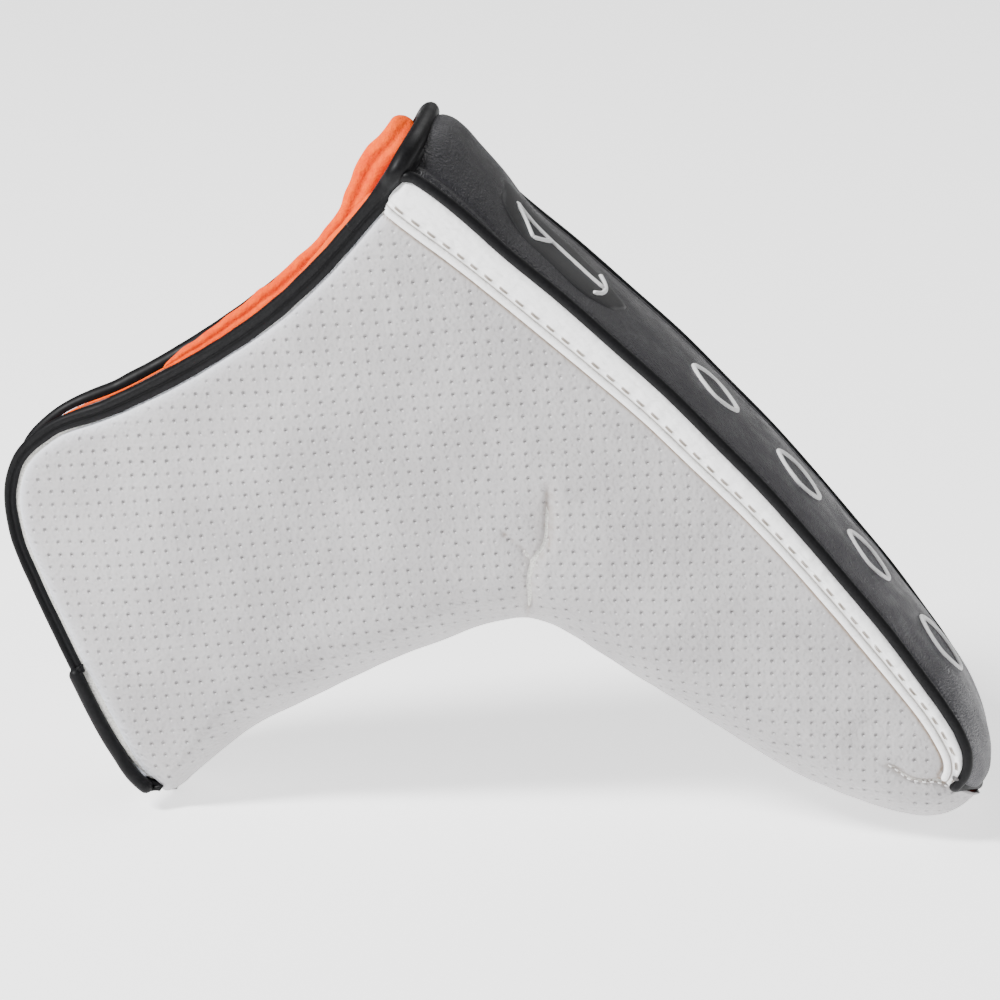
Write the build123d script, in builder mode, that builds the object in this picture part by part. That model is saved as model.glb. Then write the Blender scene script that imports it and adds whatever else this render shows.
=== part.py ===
from build123d import *
from math import cos, hypot, radians, sin, tan
import os

# A blade-putter head cover, standing on its neck end and its toe like an upside-down V.
# +X runs from the neck to the toe, -Y is the front side, +Z is up, and the origin is on the
# floor under the middle of the cover. All sizes are in millimetres.

os.makedirs("parts", exist_ok=True)

# ---- driving dimensions
BAND_HALF = 22.0  # half the spine band's width, seam to seam
WALL_LEAN = 3.9  # degrees that each side wall leans in, going away from the band
LEATHER = 1.2
FOAM = 2.4
LINING = 1.6
FLAP_FOAM = 1.0  # the padding is thin near the mouth
DEPTH_FOAM = LEATHER  # how deep the foam starts, under the outer surface
DEPTH_LINING = LEATHER + FOAM
DEPTH_HOLLOW = LEATHER + FOAM + LINING
SEAM_CURB = 0.6  # how far a binding stands off the skin that it wraps

TRIM_TOP = 2.2  # the trim strip's distances from the band's outer line
TRIM_LOW = 7.0
WELT_IN = 7.8
WELT_R = 0.8
PANEL_TOP = 8.6
PIPING_R = 1.05
PIPING_CORE_R = 0.5
TOE_SEAM_Z = 11.0  # the band and trims end here, and the side panels wrap round below

NECK_GUSSET = 3.4  # thickness of the tab that closes the lower end of the neck
SPLIT_GAP = 0.6  # half the gap at a flap's bending line, for the flap's travel
FLAP_LEAN = 14.0  # degrees that a flap leans in from its bending line
BINDING = 1.8  # how far a binding reaches past the edge that it wraps
TAPE_THICK = 1.6

ROD_OUT = 0.45  # the rods stand this far out, as the walls bow a little along the spine
HEEL_CURB = 1.8  # the heel binding is a fatter roll than the rest
HEEL_ROLL = 3.4

STITCH = (0.35, 0.5, 2.1)  # a stitch: how thick, how wide and how long
STITCH_PITCH = 3.1
STITCH_INSET = 6.0
STITCH_START = 46.0
STITCH_END = 186.0

# Side profile, walked from beyond the heel, down the spine, round the toe and back along the
# inner edge to the neck: x, z and the corner's radius, negative where the corner is re-entrant.
PROFILE = (
    (-40.0, 163.4, 0.0),
    (37.0, 95.9, 120.0),
    (75.0, 54.6, 100.0),
    (98.2, 21.0, 45.0),
    (101.2, 0.0, 9.0),
    (75.8, 0.0, 30.0),
    (3.6, 42.4, -20.0),
    (-50.0, 15.2, -40.0),
    (-64.5, 0.0, 4.0),
    (-120.0, 0.0, 0.0),
)
SPINE_COUNT = 5  # the profile's first points, which make the spine

HEEL = Vector(-14.0, 0, 137.0)  # the band's upper end, on the seam line
SPINE_DIR = Vector(0.684, 0, -0.729)  # down the spine, seen from the side
INWARD = Vector(-0.729, 0, -0.684)  # from the spine towards the inner edge

BEND_TOP = (-22.0, 122.0)  # x and z of each flap's bending line, at its ends
BEND_LOW = (-84.0, 28.0)
NECK_END_TOP = (-86.5, 31.0)  # the neck end's slanted line, x and z
NECK_END_LOW = (-70.7, 0.0)

# A flap's free edge in its own plane, from the heel to the neck: distance up the bending line
# from its top end, so it is negative, distance out from that line, and the corner's radius.
FLAP_EDGE = (
    (-2.6, SPLIT_GAP, 0.0),
    (-2.8, 2.6, 0.0),
    (-43.0, 11.8, 60.0),
    (-79.5, 34.4, -6.5),
    (-92.0, 32.2, -7.0),
    (-111.0, SPLIT_GAP, 0.0),
)
# Both closure tapes lie along the mouth, on the flaps' inner faces, in the same plane.
TAPE_OUTLINE = ((-40.0, 8.2), (-77.0, 29.2), (-81.5, 21.2), (-44.5, 2.0))

EMBLEM_AT = 69.0  # distance down the spine's line from its start, beyond the heel
EMBLEM_SIZE = (31.0, 23.0, 0.5)
MARKS_AT = (106.0, 130.5, 152.5, 176.0)
MARK_SIZE = (13.0, 6.5)
MARK_THICK = 0.6
DART = ((80.0, 13.6), (85.0, 11.2), (91.0, 9.6))  # the toe dart's line, x and z
DART_STEP = 2.6


# ---- shared geometry
def shifted(points, inset):
    """Corners and radii of an open line, moved to its right-hand side by inset."""
    corners = []
    radii = []
    for i, (x, z, radius) in enumerate(points):
        normals = []
        for a, b in ((i - 1, i), (i, i + 1)):
            if a < 0 or b >= len(points):
                continue
            dx = points[b][0] - points[a][0]
            dz = points[b][1] - points[a][1]
            normals.append((dz / hypot(dx, dz), -dx / hypot(dx, dz)))
        nx = sum(n[0] for n in normals)
        nz = sum(n[1] for n in normals)
        scale = inset * len(normals) / (nx * nx + nz * nz)
        corners.append((x + nx * scale, z + nz * scale))
        radii.append(radius - inset if radius > 0 else inset - radius)
    return corners, [max(r, 0.0) for r in radii[1:-1]]


def wall_plane(side, inset):
    """A side wall's plane: side is -1 for the front and 1 for the back."""
    lean = radians(WALL_LEAN)
    normal = INWARD * sin(lean) + Vector(0, side * cos(lean), 0)
    origin = HEEL + Vector(0, side * BAND_HALF, 0) - normal * inset
    return Plane(origin=origin, x_dir=SPINE_DIR, z_dir=normal)


def line_plane(a, b, outset):
    """The plane through two points of the side profile, square to it, facing the mouth."""
    along = Vector(b[0] - a[0], 0, b[1] - a[1]).normalized()
    out = Vector(along.Z, 0, -along.X)
    return Plane(origin=Vector(a[0], 0, a[1]) + out * outset, x_dir=(0, 1, 0), z_dir=out)


def mouth_plane(outset):
    return line_plane(BEND_TOP, BEND_LOW, outset)


def neck_plane(outset):
    return line_plane(NECK_END_TOP, NECK_END_LOW, outset)


def cover_form(inset):
    """The cover as one solid, with its mouth and neck end running on, inset from the skin."""
    corners, radii = shifted(PROFILE, inset)
    with BuildPart() as form:
        with BuildSketch(Plane.XZ):
            with BuildLine():
                FilletPolyline(*corners, radius=radii)
                Line(corners[-1], corners[0])
            make_face()
        extrude(amount=BAND_HALF + 10, both=True)
        for side in (-1, 1):
            split(bisect_by=wall_plane(side, inset), keep=Keep.BOTTOM)
    return form.part


def shell(outer, inner):
    """One layer of the cover's wall, between two depths, cut at the mouth and neck end."""
    with BuildPart() as layer:
        add(cover_form(outer))
        add(cover_form(inner), mode=Mode.SUBTRACT)
        split(bisect_by=mouth_plane(-SPLIT_GAP), keep=Keep.BOTTOM)
        split(bisect_by=neck_plane(-NECK_GUSSET), keep=Keep.BOTTOM)
    return layer.part


def spine_strip(near, far, half_width):
    """A block that follows the spine, between two distances in from its outer line."""
    outer, outer_radii = shifted(PROFILE[:SPINE_COUNT], near)
    inner, inner_radii = shifted(PROFILE[:SPINE_COUNT], far)
    with BuildPart() as strip:
        with BuildSketch(Plane.XZ):
            with BuildLine():
                FilletPolyline(*outer, radius=outer_radii)
                Line(outer[-1], inner[-1])
                FilletPolyline(*inner, radius=inner_radii)
                Line(inner[0], outer[0])
            make_face()
        extrude(amount=half_width, both=True)
        split(bisect_by=Plane.XY.offset(TOE_SEAM_Z), keep=Keep.TOP)
        split(bisect_by=mouth_plane(-SPLIT_GAP), keep=Keep.BOTTOM)
    return strip.part


def spine_line(inset, side):
    """A line that runs down the spine's edge on one side, as a wire."""
    corners, radii = shifted(PROFILE[:SPINE_COUNT], inset)
    y = side * (BAND_HALF - tan(radians(WALL_LEAN)) * inset + ROD_OUT)
    with BuildLine(Plane.XZ.offset(-y)) as line:
        FilletPolyline(*corners, radius=radii)
    return line.wire()


def spine_rod(inset, side, radius):
    """A round rod along the spine's edge, from the mouth to the toe seam."""
    path = spine_line(inset, side)
    with BuildPart() as rod:
        with BuildSketch(Plane(origin=path @ 0, z_dir=path % 0)):
            Circle(radius)
        sweep(path=path)
        split(bisect_by=Plane.XY.offset(TOE_SEAM_Z), keep=Keep.TOP)
        split(bisect_by=mouth_plane(-SPLIT_GAP), keep=Keep.BOTTOM)
    return rod.part


def stitch_row(inset, side, lift, start, end):
    """Short thread stitches in a row along the spine's edge."""
    path = spine_line(inset, side)
    length = path.length
    count = int((end - start) / STITCH_PITCH)
    places = []
    for i in range(count):
        place = path.location_at((start + i * STITCH_PITCH) / length)
        place.position = place.position + Vector(0, side * lift, 0)
        places.append(place)
    with BuildPart() as row:
        with Locations(*places):
            Box(STITCH[1], STITCH[0], STITCH[2], rotation=(0, 0, 90))
    return row.part


def wall_point(x, z, side, depth=0.0):
    """A point on a side wall above the point x, z of the side profile."""
    inward = (Vector(x, 0, z) - Vector(HEEL.X, 0, HEEL.Z)).dot(INWARD)
    return Vector(x, side * (BAND_HALF - tan(radians(WALL_LEAN)) * inward - depth), z)


def flap_plane(depth):
    """The front flap's plane: x runs up its bending line, y out to its free edge."""
    top = wall_point(*BEND_TOP, -1)
    along = (top - wall_point(*BEND_LOW, -1)).normalized()
    flat_out = Vector(-along.Z, 0, along.X).normalized()
    lean = radians(FLAP_LEAN)
    out = flat_out * cos(lean) + Vector(0, sin(lean), 0)
    normal = along.cross(out).normalized()
    return Plane(origin=top - normal * depth, x_dir=along, z_dir=normal)


def flap_plate(depth, thick):
    """One layer of the front flap, from depth inwards."""
    corners, radii = shifted(FLAP_EDGE, 0)
    with BuildPart() as plate:
        with BuildSketch(flap_plane(depth + thick)):
            with BuildLine():
                FilletPolyline(*corners, radius=radii)
                Line(corners[-1], corners[0])
            make_face()
        extrude(amount=thick)
    return plate.part


def edge_wrap(depth, thick):
    """The front flap's binding: a strip round its free edge."""
    inner, inner_radii = shifted(FLAP_EDGE, 0)
    outer, outer_radii = shifted(FLAP_EDGE, BINDING)
    with BuildPart() as wrap:
        with BuildSketch(flap_plane(depth + thick)):
            with BuildLine():
                FilletPolyline(*inner[1:], radius=inner_radii[1:])
                Line(inner[-1], outer[-1])
                FilletPolyline(*outer[1:], radius=outer_radii[1:])
                Line(outer[1], inner[1])
            make_face()
        extrude(amount=thick)
        split(bisect_by=mouth_plane(SPLIT_GAP), keep=Keep.TOP)
    return wrap.part


def tape_plate():
    """A closure tape on the inner face of the front flap."""
    with BuildPart() as tape:
        with BuildSketch(flap_plane(LEATHER + FLAP_FOAM + LINING + TAPE_THICK)):
            with BuildLine():
                Polyline(*TAPE_OUTLINE, close=True)
            make_face()
            fillet(vertices(), radius=1.5)
        extrude(amount=TAPE_THICK)
    return tape.part


def spine_face(distance):
    """A plane on the band's outer face, x down the spine, for what is sewn on it."""
    corners, radii = shifted(PROFILE[:SPINE_COUNT], 0)
    with BuildLine(Plane.XZ) as line:
        FilletPolyline(*corners, radius=radii)
    wire = line.wire()
    along = wire.tangent_at(distance / wire.length)
    outward = Vector(-along.Z, 0, along.X)
    return Plane(origin=wire.position_at(distance / wire.length), x_dir=along, z_dir=outward)


def write(part, name):
    part.label = name
    export_step(part, f"parts/{name}.step")


# ---- layers of the fixed shell
skin = shell(0, LEATHER)
foam_layer = shell(DEPTH_FOAM, DEPTH_LINING)
lining_layer = shell(DEPTH_LINING, DEPTH_HOLLOW)
above_panels = spine_strip(-5, PANEL_TOP, BAND_HALF + 9)
over_foam = spine_strip(-5, DEPTH_LINING, BAND_HALF + 9)
over_lining = spine_strip(-5, DEPTH_HOLLOW, BAND_HALF + 9)
flap_layers = {
    "panel": flap_plate(0, LEATHER),
    "foam": flap_plate(LEATHER, FLAP_FOAM),
    "lining": flap_plate(LEATHER + FLAP_FOAM, LINING),
    "binding": edge_wrap(-SEAM_CURB, LEATHER + FLAP_FOAM + LINING + 2 * SEAM_CURB),
}
tape_names = {"front": "loop_tape", "back": "hook_tape"}

# ---- the pieces that come in a front and a back
for word, side in {"front": -1, "back": 1}.items():
    own_half = Keep.BOTTOM if side > 0 else Keep.TOP

    with BuildPart() as side_panel:
        add(skin)
        add(above_panels, mode=Mode.SUBTRACT)
        split(bisect_by=Plane.XZ, keep=own_half)
    write(side_panel.part, f"{word}_side_panel")

    with BuildPart() as trim_strip:
        add(skin)
        add(spine_strip(TRIM_TOP, TRIM_LOW, BAND_HALF + 9), mode=Mode.INTERSECT)
        split(bisect_by=Plane.XZ, keep=own_half)
    write(trim_strip.part, f"{word}_trim_strip")

    with BuildPart() as trim_welt:
        add(spine_rod(WELT_IN, side, WELT_R))
    write(trim_welt.part, f"{word}_trim_welt")

    with BuildPart() as piping_cord:
        add(spine_rod(PIPING_R, side, PIPING_CORE_R))
    write(piping_cord.part, f"{word}_piping_cord")

    with BuildPart() as band_piping:
        add(spine_rod(PIPING_R, side, PIPING_R))
        add(piping_cord.part, mode=Mode.SUBTRACT)
    write(band_piping.part, f"{word}_band_piping")

    with BuildPart() as trim_stitching:
        add(stitch_row(STITCH_INSET, side, 0.1, STITCH_START, STITCH_END))
    write(trim_stitching.part, f"{word}_trim_stitching")

    with BuildPart() as side_foam:
        add(foam_layer)
        add(over_foam, mode=Mode.SUBTRACT)
        split(bisect_by=Plane.XZ, keep=own_half)
    write(side_foam.part, f"{word}_side_foam")

    with BuildPart() as side_lining:
        add(lining_layer)
        add(over_lining, mode=Mode.SUBTRACT)
        split(bisect_by=Plane.XZ, keep=own_half)
    write(side_lining.part, f"{word}_side_lining")

    with BuildPart() as dart_stitching:
        for a, b in zip(DART, DART[1:]):
            run = Vector(b[0] - a[0], 0, b[1] - a[1])
            for i in range(int(run.length / DART_STEP)):
                spot = Vector(a[0], 0, a[1]) + run.normalized() * (DART_STEP * (i + 0.5))
                seat = wall_point(spot.X, spot.Z, side)
                with Locations(Plane(origin=seat, x_dir=run, z_dir=(0, side, 0))):
                    Box(DART_STEP * 0.6, STITCH[1], STITCH[0])
    write(dart_stitching.part, f"{word}_dart_stitching")

    for layer, solid in flap_layers.items():
        with BuildPart() as flap_piece:
            add(solid)
            if side > 0:
                mirror(about=Plane.XZ, mode=Mode.REPLACE)
        write(flap_piece.part, f"{word}_flap_{layer}")

    with BuildPart() as tape:
        add(tape_plate())
        if side > 0:
            mirror(about=Plane.XZ, mode=Mode.REPLACE)
    write(tape.part, tape_names[word])

# ---- the spine band and what is under and on it
with BuildPart() as spine_band:
    add(skin)
    add(spine_strip(-5, LEATHER, BAND_HALF - 2 * PIPING_R), mode=Mode.INTERSECT)
write(spine_band.part, "spine_band")

with BuildPart() as spine_foam:
    add(foam_layer)
    add(spine_strip(-5, DEPTH_LINING, BAND_HALF - 2 * PIPING_R), mode=Mode.INTERSECT)
write(spine_foam.part, "spine_foam")

with BuildPart() as spine_lining:
    add(lining_layer)
    add(over_lining, mode=Mode.INTERSECT)
write(spine_lining.part, "spine_lining")

with BuildPart() as emblem_backing:
    with BuildSketch(spine_face(EMBLEM_AT)):
        RectangleRounded(EMBLEM_SIZE[0], EMBLEM_SIZE[1], 8.0)
    extrude(amount=EMBLEM_SIZE[2])
write(emblem_backing.part, "emblem_backing")

with BuildPart() as emblem_flag:
    with BuildSketch(spine_face(EMBLEM_AT).offset(EMBLEM_SIZE[2])):
        Rectangle(24.0, 1.2)
        with Locations((-5.5, 0.6)):
            Polygon((-6.5, 0), (6.5, 0), (0, 8.5), align=None)
        with Locations((12.0, 0)):
            Ellipse(1.2, 7.0)
    extrude(amount=MARK_THICK)
write(emblem_flag.part, "emblem_flag")

with BuildPart() as spine_marks:
    for distance in MARKS_AT:
        with BuildSketch(spine_face(distance)):
            Ellipse(MARK_SIZE[0] / 2, MARK_SIZE[1] / 2)
            Ellipse(MARK_SIZE[0] / 2 - 1.4, MARK_SIZE[1] / 2 - 1.4, mode=Mode.SUBTRACT)
        extrude(amount=MARK_THICK)
write(spine_marks.part, "spine_marks")

# ---- the ends of the mouth
with BuildPart() as heel_binding:
    add(cover_form(-HEEL_CURB))
    add(cover_form(DEPTH_HOLLOW), mode=Mode.SUBTRACT)
    split(bisect_by=mouth_plane(-SPLIT_GAP), keep=Keep.TOP)
    split(bisect_by=mouth_plane(HEEL_ROLL), keep=Keep.BOTTOM)
    split(bisect_by=Plane(origin=wall_point(*BEND_TOP, 0), z_dir=(0.551, 0, 0.835)), keep=Keep.TOP)
write(heel_binding.part, "heel_binding")

with BuildPart() as neck_gusset:
    add(cover_form(0))
    split(bisect_by=neck_plane(-NECK_GUSSET), keep=Keep.TOP)
    split(bisect_by=neck_plane(0), keep=Keep.BOTTOM)
    split(bisect_by=mouth_plane(-SPLIT_GAP), keep=Keep.BOTTOM)
write(neck_gusset.part, "neck_gusset")
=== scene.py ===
import math

import bpy
import numpy as np
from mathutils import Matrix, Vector


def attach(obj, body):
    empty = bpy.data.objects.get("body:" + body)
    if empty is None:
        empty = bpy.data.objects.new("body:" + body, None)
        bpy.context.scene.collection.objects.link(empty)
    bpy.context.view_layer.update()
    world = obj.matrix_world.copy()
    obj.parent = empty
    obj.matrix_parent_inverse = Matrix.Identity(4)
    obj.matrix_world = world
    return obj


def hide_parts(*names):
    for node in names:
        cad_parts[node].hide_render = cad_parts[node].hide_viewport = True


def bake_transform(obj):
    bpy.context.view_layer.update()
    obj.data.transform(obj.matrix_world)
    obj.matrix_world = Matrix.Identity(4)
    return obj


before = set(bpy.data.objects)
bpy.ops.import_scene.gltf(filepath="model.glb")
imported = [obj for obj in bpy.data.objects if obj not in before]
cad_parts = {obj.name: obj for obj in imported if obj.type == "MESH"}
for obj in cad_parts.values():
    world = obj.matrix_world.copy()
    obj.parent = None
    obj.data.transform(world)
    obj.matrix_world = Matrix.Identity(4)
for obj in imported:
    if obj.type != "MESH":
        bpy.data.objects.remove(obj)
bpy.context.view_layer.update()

# ---------------------------------------------------------------- lines of the cover, in mm (x, z)

# heel to toe along the band's edge: seam x, z; trim's lower edge x, z; band's crest x, z
RAILS = [
    (-15.7, 134.6, -19.8, 128.0, -11.9, 141.6),
    (-12.2, 132.6, -16.3, 125.4, -7.7, 139.4),
    (-8.5, 130.0, -12.6, 122.8, -4.3, 135.8),
    (-3.4, 125.8, -7.6, 119.2, 0.2, 130.5),
    (2.2, 120.8, -2.6, 115.4, 4.6, 123.7),
    (13.5, 111.6, 8.9, 106.2, 15.0, 113.3),
    (24.1, 102.3, 19.7, 97.4, 25.6, 104.0),
    (34.6, 93.0, 30.4, 88.4, 36.2, 94.7),
    (44.0, 83.6, 39.9, 79.4, 45.6, 85.3),
    (53.3, 74.2, 49.3, 70.5, 55.0, 75.9),
    (61.8, 64.7, 58.1, 61.4, 63.6, 66.3),
    (70.0, 55.1, 66.3, 52.2, 71.9, 56.7),
    (78.0, 45.5, 74.1, 43.0, 80.1, 47.1),
    (84.8, 36.4, 81.0, 34.6, 87.6, 38.0),
    (89.4, 30.0, 85.7, 28.6, 92.8, 31.2),
    (92.5, 24.8, 88.6, 24.0, 96.5, 24.4),
    (93.9, 20.5, 90.4, 20.3, 98.7, 18.0),
    (93.3, 16.6, 90.7, 17.7, 99.2, 12.4),
    (91.0, 13.2, 89.9, 15.2, 97.0, 7.2),
]
# the mouth's edge, from the neck's low end round the left corner to the heel
MOUTH = [
    (-71.0, 5.2), (-74.0, 9.2), (-78.4, 17.7), (-83.3, 27.4), (-88.3, 37.3), (-93.0, 46.6), (-97.2, 56.5),
    (-98.2, 65.3), (-96.4, 71.4), (-90.4, 77.5), (-77.2, 83.6), (-58.0, 94.7), (-43.1, 105.9),
    (-32.9, 116.0), (-24.7, 125.7), (-21.4, 129.8), (-18.4, 133.9),
]
# the folded edge at the middle plane, from the neck's low end to the toe
INNER = [
    (-70.3, 3.3), (-69.0, 2.0), (-67.0, 1.4), (-64.4, 2.6), (-62.0, 5.0), (-58.8, 7.9), (-55.4, 10.8),
    (-50.1, 15.0), (-39.8, 20.8), (-29.6, 26.3), (-19.4, 31.5), (-9.2, 36.2), (-4.3, 38.5), (0.5, 39.9),
    (5.5, 40.5), (10.3, 39.5), (15.2, 36.9), (20.2, 33.9), (30.3, 27.9), (40.4, 21.6), (50.6, 15.6),
    (60.8, 9.9), (71.0, 5.5), (81.2, 2.4), (86.4, 1.8), (91.2, 2.7), (94.4, 4.6), (96.8, 7.0),
]
# where the side leather meets the band's low end
TOE_END = [(90.9, 14.2), (91.9, 13.3), (93.2, 12.1), (94.6, 10.8), (95.8, 9.6), (96.7, 8.5), (97.2, 7.6)]
# the crease in the inside corner, and the pleat at the toe
CREASE = [(11.4, 74.5), (11.2, 71.0), (11.0, 66.0), (10.5, 61.3), (8.4, 57.6), (7.5, 54.0), (7.4, 49.0),
          (6.6, 43.2)]
CREASE_BRANCH = [(1.6, 64.0), (3.4, 62.4), (5.4, 60.8), (8.0, 57.4)]
DART = [(78.5, 18.4), (80.8, 16.9), (82.8, 15.3), (85.6, 14.7), (88.6, 14.6), (90.8, 13.4)]
DART_WRINKLES = [[(70.6, 21.6), (74.2, 26.0), (78.6, 29.6)], [(72.6, 19.8), (77.0, 22.2), (80.4, 25.0)]]

# the walls lean in going away from the heel's corner, and the flaps lean in beyond the bend
HEEL, INWARD = (-14.0, 137.0), (-0.729, -0.684)
BEND, BEND_OUT = (-22.0, 122.0), (-0.835, 0.551)
HALF_WIDTH, WALL_LEAN, FLAP_LEAN = 22.0, 0.068, math.tan(math.radians(14))
# thickness of the leather, and depths of the layers' faces below it
LEATHER, FOAM_IN, FOAM_OUT, LINING_IN, LINING_OUT = 1.2, 1.35, 2.9, 3.1, 4.6
PITCH, STITCH_PITCH = 2.56, 3.8  # between perforations, and between topstitches


def spline(points, step=0.5, key=slice(0, 2)):
    """A smooth line through the points, sampled evenly by the length of its key columns."""
    p = np.array(points, float)
    d = np.linalg.norm(np.diff(p[:, key], axis=0), axis=1)[:, None]
    slope = np.diff(p, axis=0) / d
    m = np.vstack([slope[:1], (slope[1:] * d[:-1] + slope[:-1] * d[1:]) / (d[1:] + d[:-1]), slope[-1:]])
    t = np.linspace(0, 1, 30, endpoint=False)[:, None]
    parts = [
        (2 * t**3 - 3 * t**2 + 1) * p[i] + (t**3 - 2 * t**2 + t) * d[i] * m[i]
        + (3 * t**2 - 2 * t**3) * p[i + 1] + (t**3 - t**2) * d[i] * m[i + 1]
        for i in range(len(p) - 1)
    ]
    dense = np.vstack(parts + [p[-1:]])
    s = arc(dense[:, key])
    at = np.linspace(0, s[-1], max(2, int(round(s[-1] / step)) + 1))
    return np.stack([np.interp(at, s, dense[:, k]) for k in range(p.shape[1])], axis=1)


def arc(line):
    return np.concatenate([[0], np.cumsum(np.linalg.norm(np.diff(line, axis=0), axis=1))])


def nearest(x, z, line):
    """Distance from each (x, z) to a line, and how far along it the nearest place is."""
    shape = np.shape(x)
    q = np.stack([np.ravel(x), np.ravel(z)], axis=1)
    a, ab = line[:-1], np.diff(line, axis=0)
    length = np.maximum((ab**2).sum(1), 1e-12)
    s = arc(line)
    best, along = np.empty(len(q)), np.empty(len(q))
    for i in range(0, len(q), 3000):
        ap = q[i:i + 3000, None] - a[None]
        t = np.clip((ap * ab).sum(2) / length, 0, 1)
        gap = ((ap - t[..., None] * ab) ** 2).sum(2)
        k = gap.argmin(1)
        rows = np.arange(len(k))
        best[i:i + 3000] = np.sqrt(gap[rows, k])
        along[i:i + 3000] = s[k] + t[rows, k] * np.sqrt(length[k])
    return best.reshape(shape), along.reshape(shape)


def along_line(x, z, line):
    """How far along a line the place nearest to one point is."""
    return nearest(np.array([x]), np.array([z]), line)[1][0]


def smoothstep(lo, hi, v):
    t = np.clip((v - lo) / (hi - lo), 0, 1)
    return t * t * (3 - 2 * t)


def hump(v, at, width):
    """1 where v is at, falling away to both sides."""
    return np.exp(-(((v - at) / width) ** 2))


def waves(x, z, scale, seed):
    """Smooth irregular bumps between about -1 and 1."""
    r = np.random.default_rng(seed)
    out = 0
    for _ in range(7):
        a, f, ph = r.uniform(0, 2 * math.pi), r.uniform(0.7, 1.6) / scale, r.uniform(0, 2 * math.pi)
        out = out + np.sin(2 * math.pi * f * (x * math.cos(a) + z * math.sin(a)) + ph)
    return out / 3.5


rails = spline(RAILS, 0.5)
SEAM_LENGTH = arc(rails[:, :2])[-1]
mouth = spline(MOUTH, 0.5)
inner = spline(INNER, 0.5)
crease, branch, dart = spline(CREASE), spline(CREASE_BRANCH), spline(DART)
dart_wrinkles = [spline(w) for w in DART_WRINKLES]
far_mouth, far_welt, far_inner = mouth[::3], rails[::3, 2:4], inner[::2]
under_welt = rails[:, 2:4] + 0.3 * (rails[:, :2] - rails[:, 2:4])
top_line = np.vstack([mouth[:-8], under_welt[3:-5], spline(TOE_END, 0.5)])
top_length, inner_length = arc(top_line), arc(inner)
far_top = np.vstack([top_line[::4], top_line[-1:]])


def rail(s):
    """Seam, trim edge and crest points at distances s along the seam."""
    at, s = arc(rails[:, :2]), np.asarray(s, float)
    before = np.minimum(s, 0)[..., None] * (rails[3] - rails[0]) / at[3]
    after = np.maximum(s - at[-1], 0)[..., None] * (rails[-1] - rails[-4]) / (at[-1] - at[-4])
    return np.stack([np.interp(s, at, rails[:, k]) for k in range(6)], axis=-1) + before + after


def height(x, z):
    """How far the smooth outer face is from the middle plane."""
    n = (x - HEEL[0]) * INWARD[0] + (z - HEEL[1]) * INWARD[1]
    t = (x - BEND[0]) * BEND_OUT[0] + (z - BEND[1]) * BEND_OUT[1]
    lean = np.log1p(np.exp(np.clip(t / 4.0, -30, 30))) * 4.0 * FLAP_LEAN
    pull = 2.0 * np.exp(-((x + 66) ** 2 + (z - 90) ** 2) / 24.0**2)
    d, _ = nearest(x, z, far_inner)
    up, _ = nearest(x, z, far_top)
    r = np.interp(x, [-72, -64, -50, 60, 80, 96], [3.5, 6, 15, 15, 14, 13])
    e = np.sqrt(np.clip(1 - (1 - np.minimum(d / r, 1)) ** 2, 0, 1))
    puff = 1.2 * (1 - hump(up, 0, 13.0))
    return (HALF_WIDTH - WALL_LEAN * n - lean - pull + puff) * e


SECOND_CREASE = np.array([1.05, 0.0])  # from the first crease to the one beside it


def ridge(x, z, line, width, fade=3.0):
    """1 on a line, falling away to each side and towards its ends."""
    d, s = nearest(x, z, line)
    ends = smoothstep(0, fade, s) * smoothstep(0, fade, arc(line)[-1] - s)
    return hump(d, 0, width) * (0.25 + 0.75 * ends)


def dents(x, z):
    """Creases, puckers and slack of the leather, as lift in mm."""
    lift = -0.95 * ridge(x, z, crease, 0.55) - 0.75 * ridge(x, z, crease, 3.6, 8)
    lift = lift - 0.6 * ridge(x, z, branch, 0.5, 1.5) - 0.35 * ridge(x, z, branch, 2.4, 2)
    lift = lift - 0.45 * ridge(x, z, crease[:-30] + SECOND_CREASE, 0.4, 4)
    side = crease + np.array([2.9, 0])
    lift = lift + 0.45 * ridge(x, z, side[:-6], 1.5, 6)
    lift = lift - 0.8 * ridge(x, z, dart, 0.6, 0.6) - 0.5 * ridge(x, z, dart, 2.2, 2)
    for k, w in enumerate(dart_wrinkles):
        lift = lift - (0.5, 0.3)[k] * ridge(x, z, w, 1.3, 4)
    lift = lift + 0.22 * waves(x, z, 34, 3) + 0.05 * waves(x, z, 9, 5)
    return lift


def edges(x, z):
    """The leather rolling under at the mouth's binding and at the welt."""
    dm, _ = nearest(x, z, far_mouth)
    dw, _ = nearest(x, z, far_welt)
    return -1.25 * np.exp(-np.maximum(dm - 1.4, 0) / 1.1) - 0.75 * np.exp(-np.maximum(dw - 0.6, 0) / 0.8)


# pairs of places on the top line and the folded edge that one column of the side's grid joins
ANCHORS = [
    ((-71.0, 5.2), (-69.6, 3.4)), ((-74.0, 9.2), (-67.6, 1.4)), ((-78.4, 17.7), (-61.5, 5.4)),
    ((-83.3, 27.4), (-55.4, 10.8)), ((-97.6, 60.0), (-38.0, 21.8)), ((-90.4, 77.5), (-28.0, 27.1)),
    ((-58.0, 94.7), (-13.0, 34.4)), ((-32.9, 116.0), (-3.0, 38.9)), ((-21.0, 130.0), (2.2, 40.2)),
    ((6.0, 110.0), (6.6, 40.4)), ((40.0, 80.0), (24.0, 31.6)), ((74.2, 43.6), (58.0, 11.3)),
    ((86.0, 28.6), (75.0, 3.3)), ((90.2, 14.9), (88.6, 2.0)), ((94.6, 10.8), (93.4, 4.0)),
    ((97.2, 7.6), (96.8, 7.0)),
]


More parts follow.
